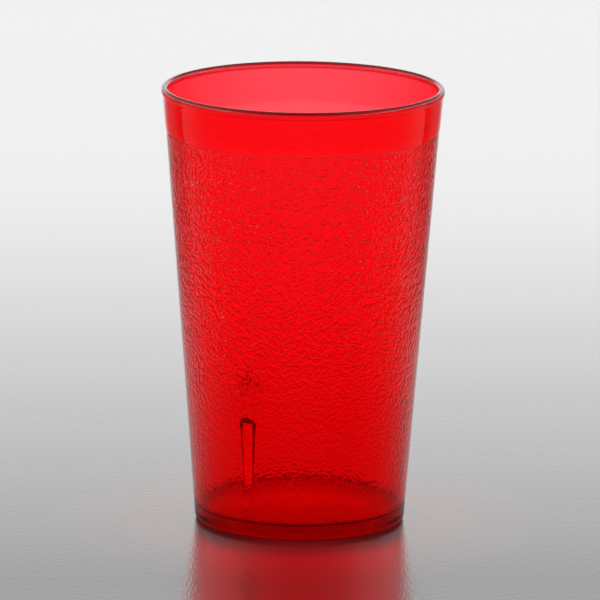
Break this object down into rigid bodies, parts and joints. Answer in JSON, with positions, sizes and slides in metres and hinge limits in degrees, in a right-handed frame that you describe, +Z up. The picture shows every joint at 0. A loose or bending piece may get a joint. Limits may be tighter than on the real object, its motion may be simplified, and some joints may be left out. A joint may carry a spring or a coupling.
{
  "type": "plastic tumbler",
  "caption": "Clear ruby plastic drinks tumbler: tapered pebbled wall, smooth drinking band under a rounded rim bead, thick floor and stacking lugs inside.",
  "frame": {"origin": "centre of the foot ring, in the plane of the table", "axes": "+Z up along the tumbler's axis to its mouth; +X through the middle of one stacking lug"},
  "size_m": [0.084, 0.084, 0.1312],
  "materials": {
    "ruby_plastic": "clear ruby styrene-type plastic, pebbled outside below the smooth band, smooth inside"
  },
  "bodies": {
    "root": {"tumbler": "ruby_plastic"}
  },
  "joints": []
}
